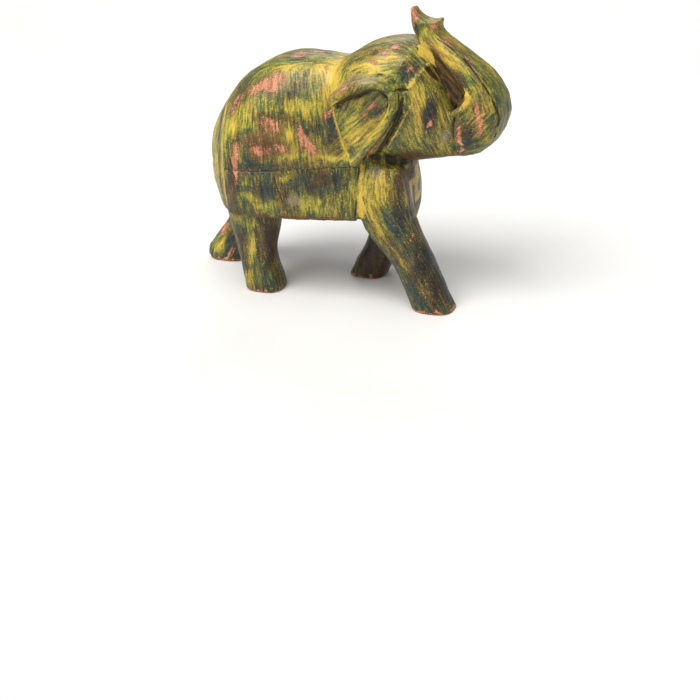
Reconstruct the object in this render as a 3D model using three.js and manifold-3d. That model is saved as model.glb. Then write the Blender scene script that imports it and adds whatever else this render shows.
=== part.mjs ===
// A carved wooden elephant with a raised trunk, glued up from hardwood blocks.
// Millimetres. +X runs towards the trunk, +Y to the elephant's left, +Z up; it stands on Z = 0.
import * as THREE from "three";
import { mergeVertices } from "three/addons/utils/BufferGeometryUtils.js";
import Module from "manifold-3d";

const wasm = await Module();
wasm.setup();

// ---- Driving dimensions -------------------------------------------------------------------

const GLUE_GAP = 0.3; // open width of every glue line
const FLANK_SEAM = { z: 148, slope: 0.065 }; // upper glue plane: height at X = 0, rise per mm of X
const BELLY_SEAM = { z: 93, slope: 0.035 }; // lower glue plane, the underside of the belly slab
const FLANK_STEP = 4; // how far the flank panel stands proud of the rump and shoulder
const FLANK_REAR_X = -94; // rear edge of the flank panel at the flank seam
const FLANK_FRONT_X = 56; // front edge of the flank panel
const FLANK_REAR_LEAN = 0.05; // the rear edge leans back this much per mm of height
const WEB_HALF = 12; // half of the web left between the two clefts behind the trunk
const DOWEL_R = 5;
const DOWEL_LENGTH = 50;
const DOWEL_FIT = 0.3; // clearance round each dowel
const BIG = 800; // edge of the blocks that cut the carving

// Torso sections from rump to chest: x, top z, bottom z, half width.
const TORSO = [
  [-128, 158, 128, 10],
  [-125, 173, 112, 30],
  [-116, 192, 92, 48],
  [-100, 216, 60, 64],
  [-80, 237, 38, 74],
  [-52, 253, 30, 74],
  [-18, 260, 30, 67],
  [18, 258, 34, 56],
  [48, 249, 40, 46],
  [72, 218, 48, 41],
  [92, 180, 60, 34],
  [103, 150, 75, 18],
];

// Spread of the flank panel towards its lower edge: x, half width under the upper seam, at the belly.
const SPREAD = [
  [-94, 52, 62],
  [-52, 58, 72],
  [-18, 54, 70],
  [18, 48, 66],
  [56, 40, 61],
];
const SPREAD_Z = { top: 160, bottom: 85 };

// Head sections from nape to the root of the trunk: x, top z, bottom z, half width.
const HEAD = [
  [10, 244, 150, 30],
  [28, 259, 150, 47],
  [50, 273, 150, 53],
  [75, 282, 152, 53],
  [96, 283, 154, 49],
  [114, 274, 155, 44],
  [130, 252, 158, 38],
  [144, 224, 161, 32],
  [154, 198, 165, 28],
];

// Trunk from the jaw round the bend to the tip: x, z, half thickness, half width.
const TRUNK = [
  [118, 189, 30, 30],
  [144, 190, 28, 30],
  [167, 195, 28, 30],
  [183, 213, 21, 29],
  [176, 237, 17, 27],
  [155, 257.5, 14, 23],
  [135, 273.5, 12.5, 18],
  [122, 284.5, 13, 14],
  [116, 295, 15.5, 12],
  [115, 306, 17, 11],
  [115, 314, 18, 11],
];

// Legs from the foot up into the body: z, x, y, half length, half width. y is for the right side.
const HIND_FORWARD = [
  [0, -59, -40, 21, 21],
  [12, -61, -40, 22, 22],
  [28, -65, -39, 20.5, 20],
  [46, -69, -39, 21.5, 20],
  [73, -70, -37, 28, 23],
  [95, -72, -36, 31, 26],
  [125, -77, -35, 36, 30],
  [160, -80, -34, 34, 26],
];
const HIND_BACK = [
  [0, -137, -34, 22, 21],
  [14, -137, -34, 24, 22],
  [45, -116, -35, 21.5, 20],
  [73, -97, -36, 25, 23],
  [95, -82, -36, 31, 26],
  [125, -77, -35, 36, 30],
  [160, -80, -34, 34, 26],
];
const FORE_FORWARD = [
  [0, 137, -38, 23, 22],
  [25, 125, -38, 23, 21],
  [51, 113, -38, 23.5, 21],
  [76, 95, -37, 28, 23],
  [95, 84, -35, 30, 24],
  [120, 78, -31, 28, 24],
  [145, 74, -27, 24, 20],
  [168, 70, -22, 16, 12],
];
const FORE_BACK = [
  [0, 34, -35, 21, 21],
  [20, 44, -35, 21, 21],
  [45, 57, -35, 21.5, 21],
  [73, 65, -35, 25, 23],
  [95, 67, -35, 28, 24],
  [120, 67, -31, 29, 24],
  [145, 66, -27, 25, 20],
  [168, 66, -22, 16, 12],
];

// Ear outline in X and Z, with the rolled upper rim and the front rim.
const EAR = [
  [28, 229],
  [46, 243],
  [68, 249],
  [90, 248],
  [102, 238],
  [101, 220],
  [91, 202],
  [56, 156],
  [47, 156],
  [38, 184],
];
const EAR_PANEL = [
  [24, 214],
  [36, 221],
  [58, 234],
  [82, 240],
  [92, 235],
  [92, 224],
  [85, 209],
  [49, 160],
  [40, 152],
  [28, 180],
];
const EAR_PIVOT = [90, 240]; // the ear turns about this corner
const EAR_OUTER_Y = 60; // outer face of the ear at its front rim
const EAR_ROOT_Y = 30;
const EAR_SWEEP = 0.03; // the ear flares outwards to the rear
const EAR_LEAN = 0.08; // and leans inwards to its lower tip
const EAR_PANEL_DEPTH = 7;
const EAR_PANEL_SLOPE = 0.075; // the panel floor rises to the rear edge
const EAR_BEVEL = 3;
const EAR_CUT_REACH = 20; // how far the hollowing cut runs past the ear's outer face

// Cleft between the raised trunk and the cheek, in X and Z.
const CLEFT = [
  [112, 285],
  [127, 272],
  [143, 256],
  [159, 239],
  [163, 229],
  [158, 218],
  [150, 212],
  [148, 224],
  [142, 240],
  [127, 259],
];

// Web that joins the trunk to the forehead between the clefts, in X and Z.
const WEB = [
  [95, 262],
  [108, 284],
  [124, 286],
  [150, 262],
  [172, 238],
  [176, 210],
  [150, 195],
  [118, 205],
];

const TIP_SADDLE = { x: 120, z: 323, radius: 21, length: 60 }; // groove across the end of the trunk
const EYE = { x: 105, y: 52, z: 239, length: 12, height: 4 };

const RING = { torso: 36, head: 32, trunk: 24, leg: 20 };
const STEPS = { torso: 22, head: 16, trunk: 26, leg: 12 };
const SQUARE = { torso: 2.5, head: 2.7, trunk: 3.0, leg: 2.7 }; // 2 is an ellipse
const SIDES = { dowel: 16, saddle: 28, eyeRound: 12, eyeHigh: 8, bevel: 2 };
const WELD = 1e-4; // vertices closer than this are one

// ---- Shapes -------------------------------------------------------------------------------

const GLOSS = { roughness: 0.62, metalness: 0 };
const wood = (name, color) => new THREE.MeshStandardMaterial({ name, color, ...GLOSS });

// A manifold-3d solid from a closed three.js geometry, turned to face outwards.
function solid(geometry) {
  const bare = geometry.clone();
  bare.deleteAttribute("normal");
  bare.deleteAttribute("uv");
  const merged = mergeVertices(bare, WELD);
  const vertProperties = new Float32Array(merged.attributes.position.array);
  const triVerts = new Uint32Array(merged.index.array);
  const made = new wasm.Manifold(new wasm.Mesh({ numProp: 3, vertProperties, triVerts }));
  if (made.volume() > 0) return made;
  return new wasm.Manifold(new wasm.Mesh({ numProp: 3, vertProperties, triVerts: triVerts.reverse() }));
}

// A three.js geometry from a manifold-3d solid.
function geometryOf(body) {
  const mesh = body.getMesh();
  const geometry = new THREE.BufferGeometry();
  geometry.setAttribute("position", new THREE.BufferAttribute(new Float32Array(mesh.vertProperties), 3));
  geometry.setIndex(new THREE.BufferAttribute(new Uint32Array(mesh.triVerts), 1));
  geometry.computeVertexNormals();
  return geometry;
}

// Smoothly interpolated rows of a station table.
function smoothRows(rows, steps) {
  const size = rows[0].length;
  const line = new THREE.CubicInterpolant(rows.map((_, i) => i), rows.flat(), size);
  const last = rows.length - 1;
  return Array.from({ length: steps + 1 }, (_, i) => Array.from(line.evaluate((last * i) / steps)));
}

// One rounded-square ring about a centre, spanned by two half-axis vectors.
function ring(centre, across, up, sides, square) {
  return Array.from({ length: sides }, (_, i) => {
    const angle = (2 * Math.PI * i) / sides;
    const bend = (v) => Math.sign(v) * Math.abs(v) ** (2 / square);
    return centre
      .clone()
      .addScaledVector(across, bend(Math.cos(angle)))
      .addScaledVector(up, bend(Math.sin(angle)));
  });
}

// A closed solid through a row of rings, with a flat fan at each end.
function loft(rings) {
  const sides = rings[0].length;
  const points = rings.flat();
  const faces = [];
  for (let r = 0; r + 1 < rings.length; r++) {
    for (let i = 0; i < sides; i++) {
      const a = r * sides + i;
      const b = r * sides + ((i + 1) % sides);
      faces.push(a, b, b + sides, a, b + sides, a + sides);
    }
  }
  const capEnd = (ends, start, flip) => {
    const middle = ends.reduce((sum, p) => sum.add(p), new THREE.Vector3()).divideScalar(sides);
    points.push(middle);
    for (let i = 0; i < sides; i++) {
      const a = start + i;
      const b = start + ((i + 1) % sides);
      faces.push(points.length - 1, flip ? b : a, flip ? a : b);
    }
  };
  capEnd(rings[0], 0, true);
  capEnd(rings.at(-1), (rings.length - 1) * sides, false);
  const geometry = new THREE.BufferGeometry().setFromPoints(points);
  geometry.setIndex(faces);
  return solid(geometry);
}

// Sections across X, each with its own top, bottom and half width.
function loftAlongX(rows, kind, inset = 0) {
  const rings = smoothRows(rows, STEPS[kind]).map(([x, top, bottom, half]) =>
    ring(
      new THREE.Vector3(x, 0, (top + bottom) / 2),
      new THREE.Vector3(0, half - Math.min(inset, half / 2), 0),
      new THREE.Vector3(0, 0, (top - bottom) / 2),
      RING[kind],
      SQUARE[kind],
    ),
  );
  return loft(rings);
}

// A leg from its foot up into the body, with a section at each height.
function leg(rows, side) {
  const rings = smoothRows(rows, STEPS.leg).map(([z, x, y, halfLength, halfWidth]) =>
    ring(
      new THREE.Vector3(x, -side * y, z),
      new THREE.Vector3(halfLength, 0, 0),
      new THREE.Vector3(0, halfWidth, 0),
      RING.leg,
      SQUARE.leg,
    ),
  );
  return loft(rings);
}

// The trunk as sections square to its path.
function trunk() {
  const path = new THREE.CatmullRomCurve3(TRUNK.map(([x, z]) => new THREE.Vector3(x, 0, z)));
  const rings = smoothRows(TRUNK, STEPS.trunk).map(([, , thick, wide], i) => {
    const t = i / STEPS.trunk;
    const along = path.getTangent(t);
    const outwards = new THREE.Vector3(along.z, 0, -along.x);
    const sideways = new THREE.Vector3(0, wide, 0);
    return ring(path.getPoint(t), outwards.multiplyScalar(thick), sideways, RING.trunk, SQUARE.trunk);
  });
  return loft(rings);
}

// A prism of an outline in X and Z, from y = near to y = far.
function prism(outline, near, far, bevel = 0) {
  const shape = new THREE.Shape(outline.map(([x, z]) => new THREE.Vector2(x, z)));
  const geometry = new THREE.ExtrudeGeometry(shape, {
    depth: far - near - 2 * bevel,
    bevelEnabled: bevel > 0,
    bevelSize: bevel,
    bevelOffset: -bevel,
    bevelThickness: bevel,
    bevelSegments: SIDES.bevel,
  });
  geometry.translate(0, 0, near + bevel);
  geometry.applyMatrix4(new THREE.Matrix4().set(1, 0, 0, 0, 0, 0, 1, 0, 0, 1, 0, 0, 0, 0, 0, 1));
  return geometry;
}

// Turns a geometry made for the left side (+Y) into the one for the given side.
function onSide(geometry, side) {
  return side > 0 ? geometry : geometry.clone().scale(1, -1, 1);
}

// A box from its limits along each axis.
function block(x0, x1, y0, y1, z0, z1) {
  const geometry = new THREE.BoxGeometry(x1 - x0, y1 - y0, z1 - z0);
  return geometry.translate((x0 + x1) / 2, (y0 + y1) / 2, (z0 + z1) / 2);
}

// The space above a glue plane, moved up by a lift.
function above({ z, slope }, lift) {
  const slab = block(-BIG, BIG, -BIG, BIG, 0, BIG);
  slab.rotateY(-Math.atan(slope));
  return solid(slab.translate(0, 0, z + lift));
}

// ---- Carving ------------------------------------------------------------------------------

// The stretch of the torso that the flank panel covers, with its leaning rear edge.
function flankZone() {
  const zone = block(FLANK_REAR_X, BIG, -BIG, BIG, -BIG, BIG);
  zone.translate(0, 0, -FLANK_SEAM.z);
  zone.applyMatrix4(new THREE.Matrix4().makeShear(0, 0, 0, 0, -FLANK_REAR_LEAN, 0));
  zone.translate(0, 0, FLANK_SEAM.z);
  return solid(zone).intersect(solid(block(-BIG, FLANK_FRONT_X, -BIG, BIG, -BIG, BIG)));
}

// The wedge that makes the flank panel wider towards its lower edge.
function spread() {
  const { top, bottom } = SPREAD_Z;
  const corners = SPREAD.map(([x, upper, lower]) => [
    new THREE.Vector3(x, lower, bottom),
    new THREE.Vector3(x, upper, top),
    new THREE.Vector3(x, -upper, top),
    new THREE.Vector3(x, -lower, bottom),
  ]);
  return loft(corners);
}

// The torso: a core for rump and shoulder, with the flank panel standing proud of it.
function torso() {
  const panel = loftAlongX(TORSO, "torso").add(spread()).intersect(flankZone());
  return loftAlongX(TORSO, "torso", FLANK_STEP).add(panel);
}

// One ear as a raised slab, and the tool that hollows its panel, both swept and leaned alike.
function earParts(side) {
  const [pivotX, pivotZ] = EAR_PIVOT;
  const slab = prism(EAR, EAR_ROOT_Y, EAR_OUTER_Y, EAR_BEVEL);
  const hollow = prism(EAR_PANEL, EAR_OUTER_Y - EAR_PANEL_DEPTH, EAR_OUTER_Y + EAR_CUT_REACH);
  hollow.translate(-pivotX, -EAR_OUTER_Y, 0).rotateZ(-EAR_PANEL_SLOPE).translate(pivotX, EAR_OUTER_Y, 0);
  return [slab, hollow].map((geometry) => {
    geometry.translate(-pivotX, -EAR_OUTER_Y, -pivotZ).rotateZ(-EAR_SWEEP).rotateX(-EAR_LEAN);
    return solid(onSide(geometry.translate(pivotX, EAR_OUTER_Y, pivotZ), side));
  });
}

// The pocket between trunk and cheek on one side.
function cleft(side) {
  return solid(onSide(prism(CLEFT, WEB_HALF, BIG), side));
}

// The cut that makes one eye socket.
function eye(side) {
  const socket = new THREE.SphereGeometry(1, SIDES.eyeRound, SIDES.eyeHigh);
  socket.scale(EYE.length / 2, EYE.height, EYE.height / 2).translate(EYE.x, EYE.y, EYE.z);
  return solid(onSide(socket, side));
}

// The cut that leaves two lobes at the end of the trunk.
function tipSaddle() {
  const { x, z, radius, length } = TIP_SADDLE;
  return solid(new THREE.CylinderGeometry(radius, radius, length, SIDES.saddle).translate(x, 0, z));
}

const RIGHT = -1;
const LEFT = 1;

const LEGS = [
  { name: "front_right", side: RIGHT, rows: FORE_FORWARD, dowel: [88, -35, 95] },
  { name: "front_left", side: LEFT, rows: FORE_BACK, dowel: [66, 35, 95] },
  { name: "hind_right", side: RIGHT, rows: HIND_FORWARD, dowel: [-74, -37, 95] },
  { name: "hind_left", side: LEFT, rows: HIND_BACK, dowel: [-88, 36, 95] },
];

const BODY_DOWELS = [
  { name: "slab_front_right", at: [60, -24, 151] },
  { name: "slab_front_left", at: [60, 24, 151] },
  { name: "slab_rear_right", at: [-60, -40, 147] },
  { name: "slab_rear_left", at: [-60, 40, 147] },
  { name: "cross_trunk", at: [150, 0, 185], across: true },
  { name: "cross_shoulder", at: [40, 0, 210], across: true },
  { name: "cross_rump", at: [-80, 0, 190], across: true },
];

// A dowel at its place, or with extra > 0 the hole it sits in.
function dowel({ at, across }, extra) {
  const radius = DOWEL_R + extra;
  const pin = new THREE.CylinderGeometry(radius, radius, DOWEL_LENGTH + 2 * extra, SIDES.dowel);
  if (!across) pin.rotateX(Math.PI / 2);
  return pin.translate(...at);
}

// ---- Assembly -----------------------------------------------------------------------------

const web = solid(prism(WEB, -WEB_HALF, WEB_HALF));
const fullLegs = LEGS.map((spec) => ({ ...spec, body: leg(spec.rows, spec.side) }));
let carving = torso().add(loftAlongX(HEAD, "head")).add(trunk()).add(web);
for (const { body } of fullLegs) carving = carving.add(body);
for (const side of [RIGHT, LEFT]) {
  const [slab, hollow] = earParts(side);
  carving = carving.subtract(cleft(side)).add(slab).subtract(hollow).subtract(eye(side));
}
carving = carving.subtract(tipSaddle());

const halfGap = GLUE_GAP / 2;
const planks = carving.intersect(above(FLANK_SEAM, halfGap));
const slab = carving.subtract(above(FLANK_SEAM, -halfGap)).intersect(above(BELLY_SEAM, halfGap));
const overLegs = above(BELLY_SEAM, -halfGap);
const rightSpace = solid(block(-BIG, BIG, -BIG, -halfGap, -BIG, BIG));
const leftSpace = solid(block(-BIG, BIG, halfGap, BIG, -BIG, BIG));

const allDowels = [...LEGS.map((l) => ({ name: "leg_" + l.name, at: l.dowel })), ...BODY_DOWELS];
const holes = allDowels.map((d) => solid(dowel(d, DOWEL_FIT)));
const bored = (body) => holes.reduce((left, hole) => left.subtract(hole), body);

const elephant = new THREE.Group();
elephant.name = "carved_elephant";

function place(name, body, color) {
  const mesh = new THREE.Mesh(geometryOf(body), wood(name, color));
  mesh.name = name;
  elephant.add(mesh);
}

place("body_plank_right", bored(planks.intersect(rightSpace)), 0x6f7a2c);
place("body_plank_left", bored(planks.intersect(leftSpace)), 0x6a7530);
place("belly_slab", bored(slab), 0x4b5a35);
for (const { name, body } of fullLegs) {
  place("leg_" + name, bored(body.subtract(overLegs)), 0x5d6b30);
}
for (const d of allDowels) {
  place("dowel_" + d.name, solid(dowel(d, 0)), 0xb9895a);
}

// The origin moves to the middle of the footprint box, at the height of the soles.
const box = new THREE.Box3().setFromObject(elephant, true);
elephant.position.x = -(box.min.x + box.max.x) / 2;

export default elephant;
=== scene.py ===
"""A carved wooden elephant with rubbed-back layered paint, sculpted around its CAD frame.

The carving is a signed distance field in millimetres: the CAD blocks joined, softened, and worked
with beads and grooves. Its skin is cut along the glue planes into the blocks it is made of.
"""

import math

import bmesh
import bpy
import numpy as np
import openvdb
from mathutils import Matrix, Vector


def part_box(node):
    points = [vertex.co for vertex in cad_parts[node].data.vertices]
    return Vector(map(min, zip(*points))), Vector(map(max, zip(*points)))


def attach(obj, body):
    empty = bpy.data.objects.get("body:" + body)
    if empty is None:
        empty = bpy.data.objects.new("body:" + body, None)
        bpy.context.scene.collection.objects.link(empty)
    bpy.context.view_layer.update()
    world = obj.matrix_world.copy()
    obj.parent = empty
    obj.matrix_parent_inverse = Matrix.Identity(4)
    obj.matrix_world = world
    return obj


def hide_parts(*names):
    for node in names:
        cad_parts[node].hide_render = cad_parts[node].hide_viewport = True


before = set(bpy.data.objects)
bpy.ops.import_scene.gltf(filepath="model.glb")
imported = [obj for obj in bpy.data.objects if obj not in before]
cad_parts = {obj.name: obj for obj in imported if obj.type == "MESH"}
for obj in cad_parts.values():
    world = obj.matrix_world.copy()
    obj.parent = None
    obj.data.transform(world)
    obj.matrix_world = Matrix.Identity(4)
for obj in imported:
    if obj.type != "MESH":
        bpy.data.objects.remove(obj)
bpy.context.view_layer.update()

# ---- Dimensions in millimetres ------------------------------------------------------------------

MM = 1000.0
VOXEL = 1.0
BAND = 8.0  # reach of the distance field to both sides of the skin
LOWEST = (-190.0, -88.0, -8.0)
HIGHEST = (190.0, 88.0, 324.0)
FIRST = np.floor(np.array(LOWEST) / VOXEL).astype(int)
SHAPE = tuple(np.ceil((np.array(HIGHEST) - LOWEST) / VOXEL).astype(int) + 2)
ORIGIN = FIRST * VOXEL

RIGHT, LEFT = -1, 1
CAD_NUDGE = 1.33  # the tables here count X from a point this far behind the middle of the CAD box
FLANK_SEAM = (149.284, 0.065)  # height at X = 0 of the tables and rise per mm of X
BELLY_SEAM = (93.691, 0.035)  # the same, for the glue plane under the belly
SEAM_OPEN = 0.05  # open width of a glue line
BELLY_DROP = 1.0  # the leg seam is cut this far below its glue plane, clear of the flat belly
GLUE_FILL = 0.35  # closes the CAD gaps while the blocks are joined
DOWEL_HOLE = 5.3  # radius of the hole for a dowel
HOLE_SPARE = 0.4  # the hole in the field is this much wider
FINE_BLUR, BROAD_BLUR, EDGE_BLUR = 1.2, 4.5, 2.0  # softening kept at carved edges, elsewhere, between
TOOL_MARKS = [(1.1, 26, 11), (0.5, 9, 12)]  # height, size and seed of the unevenness of the wood
PAINTED = [
    "body_plank_right",
    "body_plank_left",
    "belly_slab",
    "leg_front_right",
    "leg_front_left",
    "leg_hind_right",
    "leg_hind_left",
]
DOWELS = sorted(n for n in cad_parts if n.startswith("dowel_"))


# ---- The distance field -------------------------------------------------------------------------


def node_points(node):
    """Corners of a CAD block in mm, with X counted as in the tables."""
    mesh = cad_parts[node].data
    points = np.empty(len(mesh.vertices) * 3, np.float32)
    mesh.vertices.foreach_get("co", points)
    return points.reshape(-1, 3) * MM + np.float32([CAD_NUDGE, 0, 0])


def level_set(node):
    """Signed distance to a CAD block on the whole grid, negative inside."""
    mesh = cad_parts[node].data
    mesh.calc_loop_triangles()
    corners = np.empty(len(mesh.loop_triangles) * 3, np.int32)
    mesh.loop_triangles.foreach_get("vertices", corners)
    grid = openvdb.FloatGrid.createLevelSetFromPolygons(
        node_points(node),
        triangles=corners.reshape(-1, 3),
        transform=openvdb.createLinearTransform(voxelSize=VOXEL),
        halfWidth=BAND / VOXEL,
    )
    out = np.full(SHAPE, BAND, np.float32)
    grid.copyToArray(out, ijk=tuple(int(i) for i in FIRST))
    return out


def blur(values, sigma):
    """Gaussian blur with sigma in mm."""
    spread = sigma / VOXEL
    reach = math.ceil(2.5 * spread)
    taps = np.exp(-0.5 * (np.arange(reach + 1) / spread) ** 2)
    taps /= taps[0] + 2 * taps[1:].sum()
    for axis in range(3):
        moved = np.moveaxis(values, axis, 0)
        out = moved * np.float32(taps[0])
        for step in range(1, reach + 1):
            tap = np.float32(taps[step])
            out[step:] += tap * moved[:-step]
            out[:-step] += tap * moved[step:]
            out[:step] += tap * moved[:1]
            out[-step:] += tap * moved[-1:]
        values = np.moveaxis(out, 0, axis)
    return np.ascontiguousarray(values)


def smoothstep(low, high, value):
    t = np.clip((value - low) / (high - low), 0, 1)
    return t * t * (3 - 2 * t)


def joined_blocks():
    """All blocks as one body, with soft facets and its carved edges kept."""
    out = np.full(SHAPE, BAND, np.float32)
    for node in PAINTED + DOWELS:
        np.minimum(out, level_set(node), out=out)
    out -= GLUE_FILL
    crisp = blur(out, FINE_BLUR)
    broad = blur(out, BROAD_BLUR)
    edge = smoothstep(0.5, 1.3, np.abs(broad - crisp))
    edge = np.clip(blur(edge, EDGE_BLUR) * 1.6, 0, 1)
    return broad + edge * (crisp - broad) + GLUE_FILL


def window(points, reach):
    """The part of the grid near some points: its slices and its coordinates."""
    low = np.floor((points.min(0) - reach - ORIGIN) / VOXEL).astype(int)
    high = np.ceil((points.max(0) + reach - ORIGIN) / VOXEL).astype(int) + 1
    low, high = np.clip(low, 0, SHAPE), np.clip(high, 0, SHAPE)
    axes = [ORIGIN[k] + VOXEL * np.arange(low[k], high[k]) for k in range(3)]
    return tuple(slice(a, b) for a, b in zip(low, high)), np.meshgrid(*axes, indexing="ij", sparse=True)


def chain_distance(coords, points, radii):
    """Distance to a chain of capsules whose radius changes from point to point."""
    best = None
    for k in range(len(points) - 1):
        p, d = points[k], points[k + 1] - points[k]
        away = [coords[i] - p[i] for i in range(3)]
        t = np.clip(sum(away[i] * d[i] for i in range(3)) / max(float(d @ d), 1e-9), 0, 1)
        gap = np.sqrt(sum((away[i] - t * d[i]) ** 2 for i in range(3)))
        gap -= radii[k] + t * (radii[k + 1] - radii[k])
        best = gap if best is None else np.minimum(best, gap)
    return best


def smooth_min(a, b, width):
    """The smaller of two fields, with the corner between them rounded over a width."""
    h = np.clip(0.5 + 0.5 * (b - a) / width, 0, 1)
    return b + h * (a - b) - width * h * (1 - h)


def skin_y(x, z, side):
    """Y of the outermost skin at a point of the side view; with no wood there, one cell back and down."""
    i, k = (int(round((v - o) / VOXEL)) for v, o in ((x, ORIGIN[0]), (z, ORIGIN[2])))
    column = body[i, :, k] if side == RIGHT else body[i, ::-1, k]
    inside = np.nonzero(column < 0)[0]
    if not len(inside):
        return skin_y(x - VOXEL, z - VOXEL, side)
    j = inside[0]
    depth = j - column[j] / (column[j] - column[j - 1])
    far = ORIGIN[1] if side == RIGHT else ORIGIN[1] + VOXEL * (SHAPE[1] - 1)
    return far - side * depth * VOXEL


def smooth_chain(rows, per=4):
    """Catmull-Rom through rows of numbers."""
    rows = np.array(rows, float)
    padded = np.vstack([2 * rows[0] - rows[1], rows, 2 * rows[-1] - rows[-2]])
    out = []
    for k in range(len(rows) - 1):
        a, b, c, d = padded[k : k + 4]
        first = c - a
        second = 2 * a - 5 * b + 4 * c - d
        third = 3 * b - a - 3 * c + d
        for t in np.arange(per) / per:
            out.append(0.5 * (2 * b + first * t + second * t**2 + third * t**3))
    return np.array(out + [rows[-1]])


def on_skin(rows, side, sink):
    """Rows of (x, z, radius) laid on the skin of one side, sunk below it by a share of the radius."""
    line = smooth_chain(rows)
    depth = np.array([skin_y(x, z, side) for x, z, _ in line])
    depth = np.convolve(np.pad(depth, 2, mode="edge"), np.ones(5) / 5, mode="valid")
    points = np.column_stack([line[:, 0], depth - side * sink * line[:, 2], line[:, 1]])
    return points, line[:, 2]


def bead(points, radii, blend):
    """Adds a soft ridge along a chain of points."""
    area, coords = window(points, max(radii) + 4 * blend)
    body[area] = smooth_min(body[area], chain_distance(coords, points, radii), blend)


def groove(points, radii, blend):
    """Takes a soft hollow out along a chain of points."""
    area, coords = window(points, max(radii) + 4 * blend)
    body[area] = -smooth_min(-body[area], chain_distance(coords, points, radii), blend)


def widen(path, widths):
    """Rows of x, z, width from a path and the width at each of its points."""
    return [(x, z, width) for (x, z), width in zip(path, widths)]


TRUNK_FRONT = [(109, 287), (122, 280), (141, 267), (160, 249), (174, 228), (179, 210), (174, 190)]

# Carved lines on each side: (rows of x, z, radius), how far the middle is sunk in radii, blend.
BEADS = [
    # rolled upper rim of the ear
    ([(8, 225, 4.2), (22, 235, 6.0), (40, 243, 6.2), (58, 246, 5.2), (72, 243, 3.6)], 0.3, 1.4),
    # front rim of the ear
    ([(76, 238, 3.0), (76, 222, 3.8), (68, 205, 4.0), (50, 180, 4.0), (31, 157, 3.4)], 0.5, 2.0),
    # edge of the cheek beside the ear
    ([(92, 228, 2.0), (85, 208, 3.2), (77, 192, 3.4), (68, 176, 3.0)], 0.6, 3.0),
    # brow over the eye
    ([(58, 256, 1.4), (70, 252, 2.6), (79, 246, 2.6), (84, 242.5, 1.6)], 0.55, 2.0),
    # rear edge of the ear
    ([(7, 217, 1.4), (11, 203, 1.8), (16, 188, 1.8), (21, 173, 1.8), (28, 158, 2.0)], 0.7, 1.2),
    # edge between forehead and cheek
    ([(88, 240, 1.6), (92, 244, 2.4), (97, 252, 2.6), (102, 261, 1.6)], 0.6, 2.0),
    # ridge of the forehead
    ([(78, 258, 1.0), (82, 268, 2.4), (88, 277, 1.6)], 0.75, 3.0),
    # inner edge of the trunk
    ([(91, 276, 1.6), (103, 264.5, 2.4), (120, 250.5, 2.8), (133, 239, 3.0), (145, 231, 3.4)], 0.6, 2.0),
]
GROOVES = [
    # between ear and cheek
    ([(85, 233, 1.0), (81, 214, 2.0), (72, 195, 2.4), (59, 174, 3.0), (50, 163, 2.8)], 0.0, 1.6),
    # pocket between ear, cheek and shoulder
    ([(50, 161, 5.0), (62, 160, 8.5), (76, 155, 5.5)], 0.0, 2.5),
    # hollow under the rim of the ear
    ([(9, 215, 2.4), (20, 222.5, 3.2), (36, 231, 2.6), (53, 237, 1.4)], 0.0, 0.7),
    # eye
    ([(79, 241, 1.2), (84, 239.4, 2.4), (89, 239.4, 1.0)], 0.1, 0.8),
    # crack beside the upper corner of the ear panel
    ([(62, 239, 0.7), (67, 234, 1.3), (71, 230, 0.7)], 0.0, 0.5),
    # between cheek and trunk
    ([(134, 213, 1.0), (133, 200, 1.5), (134, 184, 1.4), (135, 168, 1.0)], -0.2, 1.2),
    # crack in the belly slab
    ([(-54, 146, 0.7), (-52, 136, 0.9), (-49, 124, 0.8), (-44, 110, 0.5)], 0.0, 0.5),
    # line along the front of the trunk
    (widen(TRUNK_FRONT, (0.6, 0.7, 0.8, 0.9, 1.0, 1.0, 0.8)), 0.0, 0.5),
]
# Edge between the side and the front of the shoulder, for the leg that reaches forward only.
SHOULDER_EDGE = ([(72, 150, 1.5), (79, 134, 3.2), (85, 113, 3.4), (88, 101, 2.6), (92, 90, 1.5)], 0.85, 4.0)
# Lip that closes the lower end of the hollow beside the trunk, and the wood behind it: x, distance
# from the middle, z, radius.
LIP = [(146, 24, 233, 3.5), (148, 24, 227, 4.5), (142, 24, 220, 4.5), (133, 26, 213, 3.0)]
PLUG = [(146, 16, 226, 6.0), (140, 18, 221, 6.0)]


def carve_details():
    """Adds the beads of each side, and then cuts its grooves."""
    for side in (RIGHT, LEFT):
        raised = BEADS + [SHOULDER_EDGE] if side == RIGHT else BEADS
        laid = [(bead, *on_skin(rows, side, sink), blend) for rows, sink, blend in raised]
        for rows in (LIP, PLUG):
            line = np.array(rows, float)
            laid.append((bead, line[:, :3] * (1, side, 1), line[:, 3], 3.0))
        laid += [(groove, *on_skin(rows, side, sink), blend) for rows, sink, blend in GROOVES]
        for tool, points, radii, blend in laid:
            tool(points, radii, blend)


def lattice_noise(points, cell, seed):
    """Smooth value noise from 0 to 1 with features of about one cell."""
    table = np.random.default_rng(seed).random((64, 64, 64)).astype(np.float32)
    scaled = points / cell
    base = np.floor(scaled).astype(np.int32)
    part = (scaled - base).astype(np.float32)
    part = part * part * (3 - 2 * part)
    total = np.zeros(len(points), np.float32)
    for corner in range(8):
        bits = [(corner >> k) & 1 for k in range(3)]
        weight = np.ones(len(points), np.float32)
        for k in range(3):
            weight *= part[:, k] if bits[k] else 1 - part[:, k]
        i, j, k = ((base[:, n] + bits[n]) & 63 for n in range(3))
        total += weight * table[i, j, k]
    return total


def on_panel(points):
    """1 on the flank panel, 0 in front of it and behind it."""
    return smoothstep(-118, -113, points[:, 0]) * smoothstep(38, 32, points[:, 0])


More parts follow.
